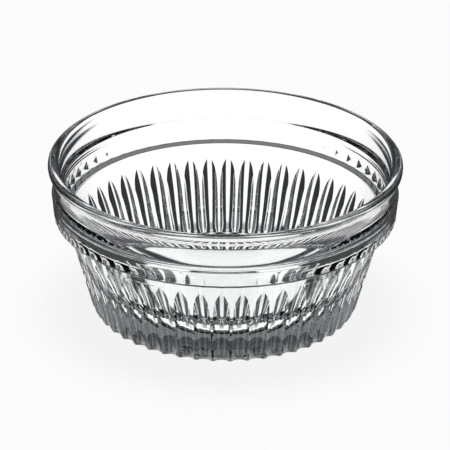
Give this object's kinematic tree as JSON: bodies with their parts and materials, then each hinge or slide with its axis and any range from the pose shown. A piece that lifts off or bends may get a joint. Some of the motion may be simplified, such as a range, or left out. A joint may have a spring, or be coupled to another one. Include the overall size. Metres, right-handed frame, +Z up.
{
  "type": "ramekin",
  "caption": "Clear pressed-glass ramekin: fluted tapering body, ribbed collar, bead ring, slanting neck and rounded lip, for serving sauces or baking small portions.",
  "frame": {"origin": "centre of the foot ring, on the surface that the ramekin stands on", "axes": "+Z up along the axis of the bowl; -Y faces the viewer, along the middle of one flute"},
  "size_m": [0.089, 0.089, 0.04],
  "materials": {
    "clear_glass": "clear, fire-polished pressed glass"
  },
  "bodies": {
    "root": {"glass_bowl": "clear_glass"}
  },
  "joints": []
}
